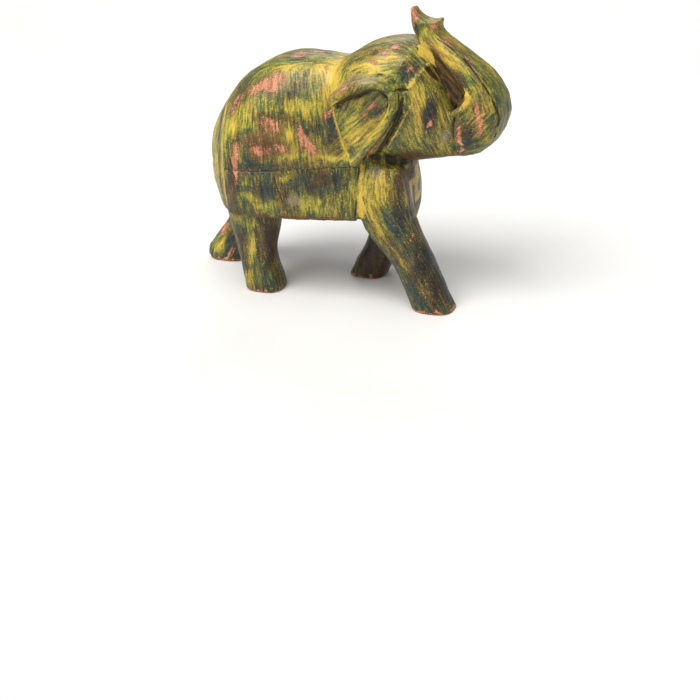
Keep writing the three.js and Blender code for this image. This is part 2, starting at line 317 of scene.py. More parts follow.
def work_surface():
    """Tool marks, the groove of the flank seam, flat soles and the dowel holes."""
    near = np.nonzero(np.abs(body) < 3.5)
    points = ORIGIN + VOXEL * np.stack(near, 1)
    rough = sum(high * (lattice_noise(points, cell, seed) - 0.5) for high, cell, seed in TOOL_MARKS)
    height, slope = FLANK_SEAM
    away = points[:, 2] - height - slope * points[:, 0]
    depth = 0.25 + 0.5 * lattice_noise(points, 12, 13)
    rough += depth * np.exp(-((away / 0.9) ** 2)) * on_panel(points)
    keep_flat = smoothstep(1.0, 6.0, points[:, 2])
    body[near] += rough * keep_flat
    z = ORIGIN[2] + VOXEL * np.arange(SHAPE[2])
    np.maximum(body, -z.astype(np.float32), out=body)
    for node in DOWELS:
        low, high = (np.array(corner) * MM + (CAD_NUDGE, 0, 0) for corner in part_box(node))
        axis = int(np.argmax(high - low))
        ends = np.tile((low + high) / 2, (2, 1))
        ends[:, axis] = low[axis] + DOWEL_HOLE, high[axis] - DOWEL_HOLE
        groove(ends, [DOWEL_HOLE + HOLE_SPARE] * 2, 0.2)


body = joined_blocks()
carve_details()
work_surface()


# ---- From field to skin -------------------------------------------------------------------------


def skin_of(values):
    """Points and four-sided faces of the surface where a field is zero."""
    grid = openvdb.FloatGrid(BAND)
    grid.copyFromArray(values, ijk=tuple(int(i) for i in FIRST))
    grid.transform = openvdb.createLinearTransform(voxelSize=VOXEL)
    return grid.convertToQuads()


def sample(values, points):
    """Trilinear reading of a field at points in mm."""
    scaled = (points - ORIGIN) / VOXEL
    base = np.clip(np.floor(scaled).astype(int), 0, np.array(SHAPE) - 2)
    part = scaled - base
    total = np.zeros(len(points))
    for corner in range(8):
        bits = np.array([(corner >> k) & 1 for k in range(3)])
        weight = np.prod(np.where(bits, part, 1 - part), axis=1)
        i, j, k = (base + bits).T
        total += weight * values[i, j, k]
    return total


def smooth_normals(points, quads):
    """Unit normal at each point, averaged over the faces round it."""
    corner = points[quads]
    face = np.cross(corner[:, 2] - corner[:, 0], corner[:, 3] - corner[:, 1])
    out = np.zeros_like(points)
    for k in range(4):
        for axis in range(3):
            out[:, axis] += np.bincount(quads[:, k], face[:, axis], len(points))
    return out / np.maximum(np.linalg.norm(out, axis=1, keepdims=True), 1e-9)


# ---- Paint --------------------------------------------------------------------------------------

# Dabs of paint on each side: x, z, half length, half width, tilt in degrees, strength.
WORN = [
    (-66, 233, 19, 8, 22, 1.25),
    (-99, 212, 14, 5, 55, 0.8),
    (-62, 197, 10, 8, 0, 0.8),
    (-48, 195, 9, 9, 0, 0.5),
    (-60, 184, 12, 7, 0, 0.5),
    (-24, 190, 13, 4, -65, 0.7),
    (-17, 175, 13, 6.5, -68, 1.2),
    (-94, 158, 24, 4.5, 88, 0.95),
    (-96, 138, 12, 3.5, 85, 0.5),
    (-45, 170, 9, 6, 0, 0.75),
    (-68, 166, 13, 7, 5, 0.7),
    (-78, 176, 12, 8, 0, 0.42),
    (3, 208, 8, 5, 60, 0.75),
    (-45, 260, 20, 2.4, 0, 0.9),
    (-30, 149, 10, 4, 80, 0.4),
    (53, 223, 8, 4, 50, 1.0),
    (44, 211, 6, 3.5, 45, 0.75),
    (71, 278, 6, 2.6, -10, 0.9),
    (60, 273, 9, 2.2, 0, 0.65),
    (51, 265, 4, 2.2, 0, 0.8),
    (88, 261, 4, 3.5, 60, 0.75),
    (110, 203, 9, 2.6, 78, 1.0),
    (101, 283, 6, 3, -30, 0.6),
    (112, 273, 11, 2.6, -30, 0.8),
    (139, 196, 13, 2.2, 80, 0.8),
    (140, 178, 13, 2.6, 100, 1.0),
    (158, 219, 15, 3.4, 97, 1.0),
    (161, 200, 10, 2.6, 85, 0.7),
    (84, 308, 7, 7, 70, 1.0),
    (106, 299, 7, 3.5, 0, 0.9),
    (-108, 57, 9, 3.5, 70, 0.5),
    (95, 83, 6, 2.2, 60, 0.6),
    (-158, 38, 13, 4, 60, 0.9),
    (-147, 13, 12, 4, 60, 0.8),
]
YELLOW = [
    (-103, 188, 13, 8, 80, 1.0),
    (-84, 197, 8, 6, 80, 0.8),
    (-90, 206, 9, 6, 60, 0.6),
    (-36, 187, 6, 5, 80, 0.9),
    (-42, 137, 8, 3, 20, 0.9),
    (-80, 116, 12, 4, 5, 0.9),
    (-84, 128, 6, 3, 0, 0.6),
    (-64, 106, 15, 6, 0, 0.8),
    (-12, 110, 10, 14, 70, 0.8),
    (-125, 150, 14, 60, 0, 0.6),
    (-162, 22, 9, 14, 0, 0.8),
    (50, 70, 2, 2, 0, 0.2),
    (-40, 249, 40, 5, 3, 0.65),
    (-22, 214, 22, 8, 5, 0.7),
    (-70, 213, 14, 8, 5, 0.35),
    (12, 161, 18, 3.5, 0, 0.9),
    (-20, 163, 22, 3, 3, 0.6),
    (23, 170, 16, 3, 100, 0.8),
    (4, 240, 8, 18, 60, 0.9),
    (46, 257, 28, 6, 12, 0.7),
    (58, 268, 20, 4, 15, 0.5),
    (98, 291, 9, 4, -50, 0.8),
    (121, 272, 20, 6, -35, 0.8),
    (150, 248, 16, 4, -55, 0.5),
    (-96, 84, 18, 7, -10, 1.0),
    (-86, 55, 24, 5, 85, 1.1),
    (-90, 14, 12, 7, 80, 0.8),
    (-66, 30, 14, 3, 85, 0.5),
    (47, 124, 14, 26, 90, 0.6),
    (60, 90, 22, 5, -60, 0.6),
    (84, 64, 22, 4, -62, 0.4),
    (-162, 18, 11, 8, 30, 1.0),
    (52, 195, 16, 8, 50, 0.55),
    (35, 186, 16, 8, 50, 0.6),
    (30, 205, 14, 7, 30, 0.5),
    (38, 200, 26, 14, 55, 0.35),
    (66, 262, 26, 10, 15, 0.3),
    (10, 236, 16, 12, 60, 0.5),
    (104, 285, 16, 8, -35, 0.35),
    (96, 195, 8, 22, 0, 0.45),
    (100, 230, 8, 12, 0, 0.45),
    (148, 212, 10, 5, 90, 0.4),
    (165, 190, 12, 5, 70, 0.6),
]
SLATE = [
    (-68, 126, 14, 11, 0, 1.0),
    (-40, 128, 16, 12, 0, 0.5),
    (-100, 130, 9, 22, 0, 0.6),
    (-60, 150, 40, 7, 0, 0.5),
    (-15, 192, 12, 10, 0, 0.6),
    (8, 188, 12, 18, 0, 0.7),
    (0, 137, 26, 13, 0, 0.75),
    (-96, 222, 12, 8, 50, 0.5),
    (-45, 225, 18, 7, 10, 0.35),
    (-78, 150, 14, 12, 0, 0.5),
    (-50, 205, 20, 6, 0, 0.4),
    (110, 212, 6, 17, 0, 1.5),
    (146, 193, 11, 20, 0, 0.85),
    (134, 252, 16, 5, -40, 0.75),
    (92, 295, 6, 5, 0, 1.0),
    (87, 259, 9, 10, 0, 0.85),
    (72, 262, 9, 4, 0, 0.5),
    (50, 273, 14, 3, 8, 0.45),
    (80, 133, 8, 15, 0, 0.8),
    (82, 104, 6, 15, 0, 0.7),
    (125, 30, 9, 18, 0, 0.9),
    (108, 54, 8, 18, 0, 0.9),
    # painted shade over the far front leg
    (26, 34, 22, 44, 0, 0.98),
    # painted shade on the front of the near hind leg
    (-68, 52, 28, 4.5, 88, 0.9),
    (-100, 50, 22, 4.5, 85, 0.45),
    (-104, 20, 12, 4, 80, 0.5),
    (58, 216, 9, 7, 45, 0.65),
    (44, 203, 7, 6, 45, 0.5),
    (-150, 26, 14, 5, 50, 0.5),
    (118, 240, 10, 4, -50, 0.5),
    (30, 252, 12, 3, 20, 0.4),
]
UMBER = [
    (-101, 118, 7, 26, 0, 0.5),
    (-5, 140, 24, 12, 0, 0.42),
    (12, 175, 10, 12, 0, 0.4),
    (-60, 178, 22, 14, 0, 0.55),
    (-12, 122, 10, 10, 0, 0.4),
    (-45, 118, 8, 16, 0, 0.4),
    # painted shade under the jaw
    (90, 166, 20, 8, 5, 0.7),
    (-64, 168, 20, 10, 0, 0.5),
    # painted shade over the far front leg
    (26, 34, 22, 44, 0, 0.45),
    # painted shade on the front of the near hind leg
    (-66, 50, 30, 5, 88, 0.5),
    (112, 204, 9, 4, 80, 0.6),
    (40, 268, 14, 4, 8, 0.35),
]
OCHRE = [
    (4, 246, 10, 10, 60, 0.8),
    (12, 230, 8, 9, 0, 0.5),
    (40, 253, 26, 4, 15, 0.6),
    (22, 226, 16, 3, 30, 0.7),
    (56, 142, 14, 8, 0, 0.6),
    (40, 120, 5, 26, 0, 0.5),
    (141, 229, 9, 7, 0, 0.9),
    (96, 275, 9, 5, -50, 0.75),
    (112, 259, 11, 4, -42, 1.0),
    (127, 246, 11, 4, -42, 1.0),
    (139, 237, 9, 5, -35, 1.0),
    (46, 108, 8, 10, 60, 0.4),
    (-80, 84, 24, 6, 0, 0.4),
    (92, 246, 6, 3, 55, 0.5),
    (66, 200, 22, 3, 62, 0.4),
]
PALE = [
    (-33, 115, 10, 8, 0, 0.8),
    (6, 106, 12, 8, 0, 0.5),
    (126, 190, 6, 13, 0, 0.75),
    (98, 62, 2, 6, 0, 0.5),
    (-74, 222, 16, 5, 5, 0.2),
    # painted highlights along the top and front rims of the ear: this row and the next two
    (20, 240, 15, 3.5, 35, 1.0),
    (48, 249, 16, 3, 8, 0.9),
    (42, 174, 24, 2.2, 60, 0.8),
]
# Lines on the skin of both sides: rows of x, z and a half width.
LINE_OCHRE = [
    [(4, 226, 2.4), (9, 210, 2.3), (15, 190, 2.2), (21, 172, 2.2), (28, 156, 2.2)],
    [(72, 236, 1.4), (73, 224, 1.6), (66, 209, 1.6), (48, 182, 1.4), (30, 160, 1.4)],
    [(90, 276, 2.4), (103, 265, 2.4), (120, 251, 2.4), (133, 239, 2.6), (146, 231, 3.0)],
    [(88, 240, 1.6), (92, 244, 1.8), (99, 256, 1.8), (103, 262, 1.6)],
    [(133, 213, 1.8), (141, 221, 2.0), (148, 227, 2.0)],
    [(94, 226, 0.7), (84, 206, 1.0), (74, 188, 0.8), (65, 174, 0.6)],
    [(-115.5, 205, 2.4), (-114.5, 180, 2.4), (-113, 150, 2.2), (-112.5, 100, 2.2)],
    [(37, 152, 2.0), (38, 125, 2.4), (39, 100, 2.0)],
]
LINE_BROWN = [
    [(-112, 92, 5.0), (-70, 92, 4.4), (-30, 94, 4.2), (10, 95, 4.0), (32, 96, 4.0)],
    [(-111, 140, 1.6), (-110, 112, 2.4), (-110, 98, 2.6)],
]
LINE_GREEN = [
    [(-121, 200, 2.4), (-121, 170, 2.6), (-119, 110, 2.4)],
    [(34, 228, 1.6), (52, 240, 1.8), (66, 239, 1.4)],
]
LINE_DARK = [
    [(84, 231, 1.4), (79, 212, 2.0), (70, 193, 2.2), (58, 173, 2.6), (50, 162, 3.0)],
    [(79, 241, 1.0), (84, 239.4, 1.8), (89, 239.4, 1.0)],
    [(60, 240, 0.7), (67, 234, 1.4), (71, 229, 0.8)],
    [(-54, 146, 0.7), (-52, 136, 0.8), (-49, 124, 0.8), (-44, 110, 0.5)],
    widen(TRUNK_FRONT, (0.7, 0.7, 0.7, 0.9, 1.1, 1.1, 0.9)),
    [(133, 208, 1.0), (133, 195, 1.2), (134, 182, 1.0), (135, 168, 0.9)],
    [(34, 150, 1.0), (34, 125, 1.0), (34, 98, 0.8)],
    [(100, 262, 1.6), (110, 249, 1.8), (122, 237, 1.8), (131, 226, 1.4)],
    # painted shadow under the rim of the ear
    [(10, 218, 1.4), (21, 225.5, 2.2), (38, 233, 1.8), (52, 238, 1.0)],
    # painted shade in the pocket between ear, cheek and shoulder
    [(46, 162, 3.0), (58, 160, 6.0), (74, 155, 5.5), (86, 154, 3.0)],
]
LINE_WORN = [
    [(-112, 142, 0.8), (-90, 144, 1.0), (-70, 146, 0.8), (-52, 147, 0.7), (-47, 124, 0.8), (-40, 104, 0.8)],
    [(-110, 90, 2.2), (-70, 91, 2.0), (-30, 92, 2.0), (10, 93, 2.0), (32, 94, 2.0)],
    [(8, 228, 2.4), (22, 239, 3.2), (40, 247, 2.6)],
    [(113, 288, 1.1), (140, 270, 1.4), (156, 253, 1.2)],
    [(-110, 112, 1.2), (-111, 98, 1.6)],
    [(60, 184, 1.6), (48, 170, 1.6), (36, 158, 1.6)],
]


def dabs(points, rows, shift):
    """Sum of soft dabs as seen from the side, each moved by its own shift."""
    total = np.zeros(len(points))
    for n, (x, z, length, width, tilt, strength) in enumerate(rows):
        c, s = math.cos(math.radians(tilt)), math.sin(math.radians(tilt))
        dx, dz = points[:, 0] - x - shift[n, 0], points[:, 2] - z - shift[n, 1]
        along, across = (dx * c + dz * s) / length, (dz * c - dx * s) / width
        total += strength * np.exp(-0.9 * (along**2 + across**2) ** 1.5)
    return total


def in_outline(points, outline):
    """Whether points lie inside an outline of x, z."""
    inside = np.zeros(len(points), bool)
    for (x0, z0), (x1, z1) in zip(outline, outline[1:] + outline[:1]):
        crosses = (points[:, 2] < z0) != (points[:, 2] < z1)
        inside ^= crosses & (points[:, 0] < x0 + (points[:, 2] - z0) * (x1 - x0) / ((z1 - z0) or 1))
    return inside


def lines(points, rows_list):
    """Strength of soft lines seen from the side: 1 on a line, 0 away from it."""
    total = np.zeros(len(points))
    flat = points[:, [0, 2]]
    for rows in rows_list:
        line = smooth_chain(rows, 3)
        ends = line[:, :2]
        low, high = ends.min(0) - 8, ends.max(0) + 8
        near = np.nonzero(np.all((flat > low) & (flat < high), axis=1))[0]
        best = np.zeros(len(near))
        for k in range(len(line) - 1):
            p, d = ends[k], ends[k + 1] - ends[k]
            t = np.clip(((flat[near] - p) @ d) / max(d @ d, 1e-9), 0, 1)
            gap = np.linalg.norm(flat[near] - p - t[:, None] * d, axis=1)
            width = line[k, 2] + t * (line[k + 1, 2] - line[k, 2])
            best = np.maximum(best, np.exp(-((gap / width) ** 2)))
        total[near] = np.maximum(total[near], best)
    return total


LEG_TOP = 90  # dabs below this height stay in place on the left side, and the others are moved
# Mouth of the hollow between trunk and cheek: x, z.
HOLLOW = [
    (103, 277),
    (112, 271),
    (124, 258),
    (141, 241),
    (146, 229),
    (140, 216),
    (129, 209),
    (125, 224),
    (119, 240),
    (109, 256),
]
# Path of the trunk from the jaw to the tip: x, z.
TRUNK_PATH = [
    (98, 190),
    (124, 192),
    (146, 198),
    (160, 216),
    (154, 240),
    (135, 261),
    (116, 276),
    (102, 286),
    (95, 296),
    (93.7, 314),
]
TRUNK_REACH = 30  # the skin of the trunk is nearer to its path than this
# Each leg: its side, x and z where it leaves the body, and x and z at its foot.
LEG_AXES = [
    (RIGHT, (64, 95), (117, 0)),
    (LEFT, (47, 95), (14, 0)),
    (RIGHT, (-92, 95), (-79, 0)),
    (LEFT, (-102, 95), (-157, 0)),
]


def brush_direction(points, normals):
    """The way the brush was drawn at each point, along the skin."""
    x, y, z = points.T
    way = np.zeros_like(points)
    way[:, 0], way[:, 2] = -0.08, 1.0  # upright on the flanks
    crown = (smoothstep(0.72, 0.97, normals[:, 2]) * smoothstep(170, 190, z))[:, None]
    way += crown * (np.array([1.0, 0, 0.1]) - way)
    top = smoothstep(238, 258, z) * smoothstep(15, 40, x) * smoothstep(96, 80, x)
    way += top[:, None] * (np.array([1.0, 0, 0.25]) - way)
    cheek = smoothstep(70, 84, x) * smoothstep(150, 160, z) * (1 - top)
    way += cheek[:, None] * (np.array([-0.35, 0, 1.0]) - way)
    ear = (x > 5) & (x < 80) & (z > 152) & (z < 242) & (np.abs(y) > 46)
    way[ear & (z - 240 < 1.35 * (x - 12) - 50)] = (0.62, 0, 0.78)
    way[ear] = 0.6 * way[ear] + np.array([0.5, 0, 0.32])
    path = np.array(TRUNK_PATH, float)
    best = np.full(len(points), 1e9)
    for k in range(len(path) - 1):
        p, d = path[k], path[k + 1] - path[k]
        t = np.clip(((points[:, [0, 2]] - p) @ d) / (d @ d), 0, 1)
        gap = np.linalg.norm(points[:, [0, 2]] - p - t[:, None] * d, axis=1)
        before_jaw = (x > 132) | ((x + 0.72 * z > 276.4) & (z > 230))
        on_trunk = (gap < best) & (gap < TRUNK_REACH) & before_jaw
        best[on_trunk] = gap[on_trunk]
        way[on_trunk] = (d[0], 0, d[1])
    height, slope = BELLY_SEAM
    under = z < height + slope * x + 25
    for side, high, low in LEG_AXES:
        mine = under & (y * side > 0) & ((x > 36) if high[0] > 0 else (x < 0))
        mine &= (z < height + slope * x) | (x > 36)
        way[mine] = (low[0] - high[0], 0, low[1] - high[1])
    way -= normals * np.sum(way * normals, axis=1, keepdims=True)
    size = np.linalg.norm(way, axis=1, keepdims=True)
    return np.where(size > 1e-3, way / np.maximum(size, 1e-3), (1.0, 0, 0))


def streaks(points, way, cell, length, seed):
    """Noise drawn out along the brush direction, with mean 0 and spread 1."""
    total = np.zeros(len(points))
    for step in np.linspace(-1, 1, 13):
        total += (1 - 0.5 * abs(step)) * lattice_noise(points + way * (step * length), cell, seed)
    return (total - total.mean()) / total.std()


def paint_masks(points, normals, bend):
    """Every mask of the paint at each point of the skin, in a dictionary. Some of them hold painted shade
    and painted highlights.
    """
    rng = np.random.default_rng(2024)
    x, y, z = points.T
    way = brush_direction(points, normals)
    fine = streaks(points, way, 1.8, 7, 21)
    mid = streaks(points, way, 3.6, 13, 22)
    wide = streaks(points, way, 12, 24, 23)
    spots = lattice_noise(points, 6, 24) - 0.5
    masks = {}
    wobble = np.stack([lattice_noise(points, 14, 31) - 0.5, 0 * x, lattice_noise(points, 14, 32) - 0.5], 1)
    moved = points + 6 * wobble + way * mid[:, None]
    for name, rows in (
        ("worn", WORN),
        ("yellow", YELLOW),
        ("slate", SLATE),
        ("umber", UMBER),
        ("ochre", OCHRE),
        ("pale", PALE),
    ):
        still = np.zeros((len(rows), 2))
        loose = rng.uniform((-16, -9), (16, 9), (len(rows), 2))
        loose[np.array(rows)[:, 1] < LEG_TOP] = 0
        right, left = dabs(moved, rows, still), dabs(moved, rows, loose)
        side = smoothstep(-4, 4, y)
        masks[name] = right + side * (left - right)
    # Creases hold ochre paint caught in them, and painted shade that darkens the deepest of them.
    crease_ochre_and_shade = np.clip(-bend / 1.2, 0, 1)
    ridge = np.clip(bend / 1.4 - 0.25, 0, 1)
    # Painted shade: low makes the paint darker towards the floor and at the front below the head; it lowers
    # the tone and adds umber.
    low = smoothstep(150, 60, z) + 0.35 * smoothstep(230, 200, z) * smoothstep(60, 80, x)
    tone = 0.455 - 0.14 * low - 0.25 * lines(points, LINE_GREEN)
    tone = tone + 0.29 * masks.pop("yellow") - 0.30 * masks.pop("slate")
    masks["tone"] = tone + 0.03 * wide + 0.08 * ridge
    on_ear = (np.abs(y) > 50) & (x < 80) & (z > 150)
    broken = 0.35 + 0.65 * smoothstep(0.25, 0.6, lattice_noise(points, 8, 42))
    thin = ((np.abs(normals[:, 1]) > 0.18) | on_ear) * broken
    ochre = masks["ochre"] + 0.95 * lines(points, LINE_OCHRE) * thin + 0.45 * crease_ochre_and_shade
    masks["ochre"] = np.clip(ochre, 0, 1.2)
    # Dark lines: cracks, the eye and carved grooves, with a painted shadow under the ear's rim and painted
    # shade in the pocket by the shoulder.
    dark_marks_and_shade = lines(points, LINE_DARK) * thin
    height, slope = FLANK_SEAM
    seam = np.exp(-(((z - height - slope * x) / 0.7) ** 2)) * on_panel(points)
    dark_marks_and_shade = np.maximum(dark_marks_and_shade, 0.7 * seam * smoothstep(0.3, 0.5, lattice_noise(points, 16, 41)))
    masks["worn"] += 0.8 * lines(points, LINE_WORN) * thin + 0.9 * smoothstep(5, 1.5, z + 2 * mid)
    masks["worn"] += 0.5 * np.clip(ridge - 0.5, 0, 1)
    # Painted shade: the dark mask also darkens the deepest creases.
    masks["dark"] = np.clip(dark_marks_and_shade + smoothstep(0.55, 1.0, crease_ochre_and_shade + 0.3 * spots), 0, 1)
    hollow = in_outline(points, HOLLOW) & (np.abs(y) < np.interp(z, (215, 250, 285), (27, 25, 17)))
    # Painted shade: faces that look down, above the soles, get umber.
    belly = smoothstep(0.6, 0.9, -normals[:, 2]) * smoothstep(4, 9, z)
    # Painted shade on the front of the chest and shoulders below the jaw, with ochre blotches laid over
    # part of it.
    chest_shade_and_ochre = smoothstep(0.55, 0.9, normals[:, 0]) * smoothstep(165, 145, z) * smoothstep(85, 105, z)
    chest_shade_and_ochre *= smoothstep(40, 60, x)
    masks["umber"] += 0.8 * lines(points, LINE_BROWN) * thin
    # Umber here also holds painted shade: towards the floor, on faces that look down and on the chest below
    # the jaw.
    umber = masks["umber"] + 0.12 * low + 0.8 * belly + 0.35 * chest_shade_and_ochre + 1.1 * hollow
    masks["umber"] = np.clip(umber, 0, 1.2)
    masks["ochre"] += 0.7 * chest_shade_and_ochre * smoothstep(0.4, 0.65, lattice_noise(points, 10, 43))
    masks["ochre"] *= 1 - 0.8 * hollow
    masks["dark"] = np.clip(masks["dark"] + 0.25 * hollow, 0, 1)
    masks["streak"] = np.stack([fine, mid, wide], 1)
    masks["way"] = way
    return masks


def brush_relief(masks):
    """Height of the brush marks in mm, with the worn patches lower."""
    fine, mid, _ = masks["streak"].T
    return 0.10 * fine + 0.08 * mid - 0.35 * smoothstep(0.4, 0.8, masks["worn"])


points, quads = skin_of(body)
quads = quads.astype(np.int64)
points = points.astype(float)
normals = smooth_normals(points, quads)
flip = np.sum((sample(body, points + normals) - sample(body, points - normals)) > 0) < len(points) / 2
if flip:
    quads, normals = quads[:, ::-1], -normals
bend = sample(blur(body, 3.0), points)
masks = paint_masks(points, normals, bend)
points = points + normals * (brush_relief(masks) * smoothstep(0.5, 3, points[:, 2]))[:, None]
print("skin", len(points), "points")


# ---- Blocks -------------------------------------------------------------------------------------


def skin_mesh():
    """The whole skin as a mesh, with the masks on its points."""
    mesh = bpy.data.meshes.new("skin")
    mesh.vertices.add(len(points))
    mesh.vertices.foreach_set("co", (points / MM).astype(np.float32).ravel())
    mesh.loops.add(len(quads) * 4)
    mesh.loops.foreach_set("vertex_index", quads.astype(np.int32).ravel())
    mesh.polygons.add(len(quads))
    mesh.polygons.foreach_set("loop_start", np.arange(0, len(quads) * 4, 4, dtype=np.int32))
    mesh.update(calc_edges=True)
    for name, values in masks.items():
        kind = "FLOAT_VECTOR" if values.ndim == 2 else "FLOAT"
        layer = mesh.attributes.new(name, kind, "POINT")
        layer.data.foreach_set("vector" if values.ndim == 2 else "value", values.astype(np.float32).ravel())
    return mesh


def cut(source, height, way, keep_side):
    """A copy of a bmesh cut by a plane, with flat triangles laid in the opening.

    The legs come out closed. The planks, and the top of the belly slab, keep part of theirs open.
    """
    bm = source.copy()
    whole = bm.verts[:] + bm.edges[:] + bm.faces[:]
    made = bmesh.ops.bisect_plane(
        bm,
        geom=whole,
        plane_co=height,
        plane_no=way,
        dist=1e-7,
        clear_inner=keep_side > 0,
        clear_outer=keep_side < 0,
    )
    edges = [e for e in made["geom_cut"] if isinstance(e, bmesh.types.BMEdge)]
    rim = [e for e in edges if e.is_valid and e.is_boundary]
    outward = Vector(way) * -keep_side
    filled = bmesh.ops.triangle_fill(bm, use_beauty=True, use_dissolve=False, edges=rim, normal=outward)
    for item in filled["geom"]:
        if isinstance(item, bmesh.types.BMFace):
            item.material_index = 1
            item.smooth = False
            if item.normal.dot(outward) < 0:
                item.normal_flip()
    return bm


def seam_plane(seam, lift):
    """A point and the normal of a glue plane that is moved up by a lift."""
    height, slope = seam
    return Vector((0, 0, (height + lift) / MM)), Vector((-slope, 0, 1)).normalized()


def islands(source):
    """Each separate shell of a bmesh as its own bmesh."""
    source.verts.index_update()
    seen = set()
    out = []
    for start in source.verts:
        if start.index in seen:
            continue
        group, stack = set(), [start]
        seen.add(start.index)
        while stack:
            vert = stack.pop()
            group.add(vert.index)
            for edge in vert.link_edges:
                other = edge.other_vert(vert)
                if other.index not in seen:
                    seen.add(other.index)
                    stack.append(other)
        part = source.copy()
        part.verts.ensure_lookup_table()
        gone = [v for v in part.verts if v.index not in group]
        bmesh.ops.delete(part, geom=gone, context="VERTS")
        out.append(part)
    return out


def piece_from(bm, node, materials):
    """The visible piece made from a carved block, in place of its CAD node."""
    mesh = bpy.data.meshes.new(node + "_carved")
    bm.to_mesh(mesh)
    bm.free()
    mesh.transform(Matrix.Translation((-CAD_NUDGE / MM, 0, 0)))
    for material in materials:
        mesh.materials.append(material)
    mesh.set_sharp_from_angle(angle=math.radians(60))
    obj = bpy.data.objects.new(node + "_carved", mesh)
    bpy.context.scene.collection.objects.link(obj)
    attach(obj, "root")
    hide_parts(node)
    return obj


def leg_name(bm):
    middle = sum((v.co for v in bm.verts), Vector()) / len(bm.verts)
    return f"leg_{'front' if middle.x > 0 else 'hind'}_{'right' if middle.y < 0 else 'left'}"


def split_blocks():
    """The skin cut into its seven blocks, by name."""
    whole = bmesh.new()
    skin = skin_mesh()
    whole.from_mesh(skin)
    bpy.data.meshes.remove(skin)
    for face in whole.faces:
        face.smooth = True
    half = SEAM_OPEN / 2
    upper = cut(whole, *seam_plane(FLANK_SEAM, half), 1)
    lower = cut(whole, *seam_plane(FLANK_SEAM, -half), -1)
    whole.free()
    blocks = {}
    across = Vector((0, 1, 0))
    blocks["body_plank_left"] = cut(upper, Vector((0, half / MM, 0)), across, 1)
    blocks["body_plank_right"] = cut(upper, Vector((0, -half / MM, 0)), across, -1)
    blocks["belly_slab"] = cut(lower, *seam_plane(BELLY_SEAM, half - BELLY_DROP), 1)
    legs = cut(lower, *seam_plane(BELLY_SEAM, -half - BELLY_DROP), -1)
    for part in islands(legs):
        blocks[leg_name(part)] = part
    return blocks


# ---- Materials ----------------------------------------------------------------------------------


def colour(code):
    """Linear RGBA of a hex colour."""
    parts = [int(code[i : i + 2], 16) / 255 for i in (1, 3, 5)]
    return [c / 12.92 if c <= 0.04045 else ((c + 0.055) / 1.055) ** 2.4 for c in parts] + [1.0]


class Nodes:
    """Short calls that add and join the nodes of one material."""

    def __init__(self, name):
        self.material = bpy.data.materials.new(name)
        self.material.use_nodes = True
        self.tree = self.material.node_tree
        self.tree.nodes.clear()

    def add(self, kind, inputs=None, **settings):
        node = self.tree.nodes.new(kind)
        for key, value in settings.items():
            setattr(node, key, value)
        for key, value in (inputs or {}).items():
            socket = node.inputs[key]
            if isinstance(value, bpy.types.NodeSocket):
                self.tree.links.new(value, socket)
            else:
                socket.default_value = value
        return node

    def mask(self, name, output="Fac"):
        return self.add("ShaderNodeAttribute", attribute_name=name).outputs[output]

    def math(self, operation, a, b=0.0, c=0.0):
        return self.add("ShaderNodeMath", {0: a, 1: b, 2: c}, operation=operation).outputs[0]

    def plus(self, value, shares):
        """A value with a share of each part added to it in turn."""
        for part, share in shares:
            value = self.math("MULTIPLY_ADD", part, share, value)
        return value

    def step(self, value, low, high):
        inputs = {"Value": value, "From Min": low, "From Max": high}
        return self.add("ShaderNodeMapRange", inputs, interpolation_type="SMOOTHSTEP").outputs["Result"]

    def noise(self, where, scale, detail=2.0, rough=0.55):
        inputs = {"Vector": where, "Scale": scale, "Detail": detail, "Roughness": rough}
        return self.add("ShaderNodeTexNoise", inputs).outputs["Fac"]

    def drawn(self, where, way, scale, pitch, taps=7):
        """Noise drawn out along a direction, about 0: the mean of taps one pitch in metres apart."""
        total = None
        for k in range(taps):
            far = (k - (taps - 1) / 2) * pitch
            inputs = {0: way, 1: (far, far, far), 2: where}
            moved = self.add("ShaderNodeVectorMath", inputs, operation="MULTIPLY_ADD").outputs[0]
            tap = self.noise(moved, scale, 1.0, 0.5)
            total = tap if total is None else self.math("ADD", total, tap)
        return self.math("MULTIPLY_ADD", total, 1 / taps, -0.5)

    def ramp(self, value, stops):
        node = self.add("ShaderNodeValToRGB", {"Fac": value})
        elements = node.color_ramp.elements
        while len(elements) < len(stops):
            elements.new(0.5)
        for element, (place, code) in zip(elements, stops):
            element.position = place
            element.color = colour(code)
        return node.outputs["Color"]

    def mix(self, amount, under, over):
        """One colour over another: input 0 is the amount, 6 and 7 are the colours, output 2 the result."""
        return self.add("ShaderNodeMix", {0: amount, 6: under, 7: over}, data_type="RGBA").outputs[2]

    def finish(self, **inputs):
        """Ends the tree with a shader whose sockets are named with _ for each space."""
        shader = self.add("ShaderNodeBsdfPrincipled", {k.replace("_", " "): v for k, v in inputs.items()})
        self.add("ShaderNodeOutputMaterial", {"Surface": shader.outputs["BSDF"]})
        return self.material


